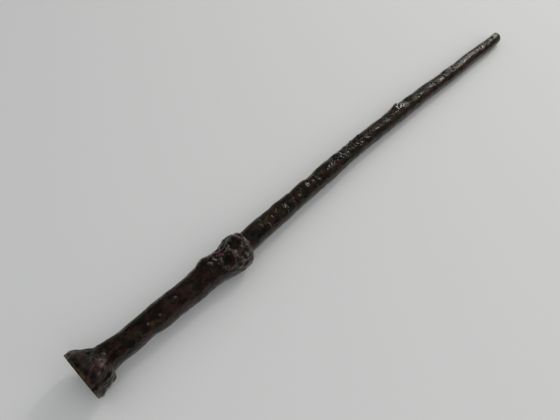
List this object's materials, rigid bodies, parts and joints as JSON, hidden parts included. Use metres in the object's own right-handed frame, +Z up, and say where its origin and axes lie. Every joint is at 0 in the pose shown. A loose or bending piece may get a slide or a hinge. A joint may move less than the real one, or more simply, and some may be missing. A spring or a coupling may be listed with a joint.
{
  "type": "magic wand",
  "caption": "Rustic hand-made magic wand: flared pommel, slim lumpy grip, knobbly collar with coiled burls, and a slightly bowed tapering shaft with knots, bark-like steps and a blunt tip.",
  "frame": {"origin": "on the surface that the wand lies on, under the middle of its bounding box", "axes": "+X from the butt to the tip, +Z up, the wand lying on its pommel's flat and its tip"},
  "size_m": [0.3568, 0.0268, 0.0262],
  "materials": {
    "stick_wood": "sanded hardwood, sealed under the coat",
    "handle_lacquer": "near-black brown with oxblood rubbing, high gloss",
    "collar_lacquer": "near-black brown, oxblood and violet in the hollows, high gloss",
    "shaft_lacquer": "near-black brown with olive-gold edges, high gloss",
    "knot_lacquer": "dark brown with olive hollows, high gloss",
    "tip_lacquer": "dark olive brown, worn, gloss"
  },
  "bodies": {
    "root": {"core_stick": "stick_wood", "butt_plate": "handle_lacquer", "pommel": "handle_lacquer", "pommel_lumps": "handle_lacquer", "grip_sleeve": "handle_lacquer", "shoulder_bump": "handle_lacquer", "collar_body": "collar_lacquer", "collar_coil_lower": "collar_lacquer", "collar_coil_upper": "collar_lacquer", "collar_front_ring": "collar_lacquer", "shaft_wrap_1": "shaft_lacquer", "shaft_wrap_2": "shaft_lacquer", "shaft_wrap_3": "shaft_lacquer", "shaft_wrap_4": "shaft_lacquer", "shaft_wrap_5": "shaft_lacquer", "shaft_wrap_6": "shaft_lacquer", "shaft_wrap_7": "shaft_lacquer", "knot_lower": "knot_lacquer", "knot_large": "knot_lacquer", "knot_upper": "knot_lacquer", "bead_patch": "knot_lacquer", "tip_cap": "tip_lacquer"}
  },
  "joints": []
}
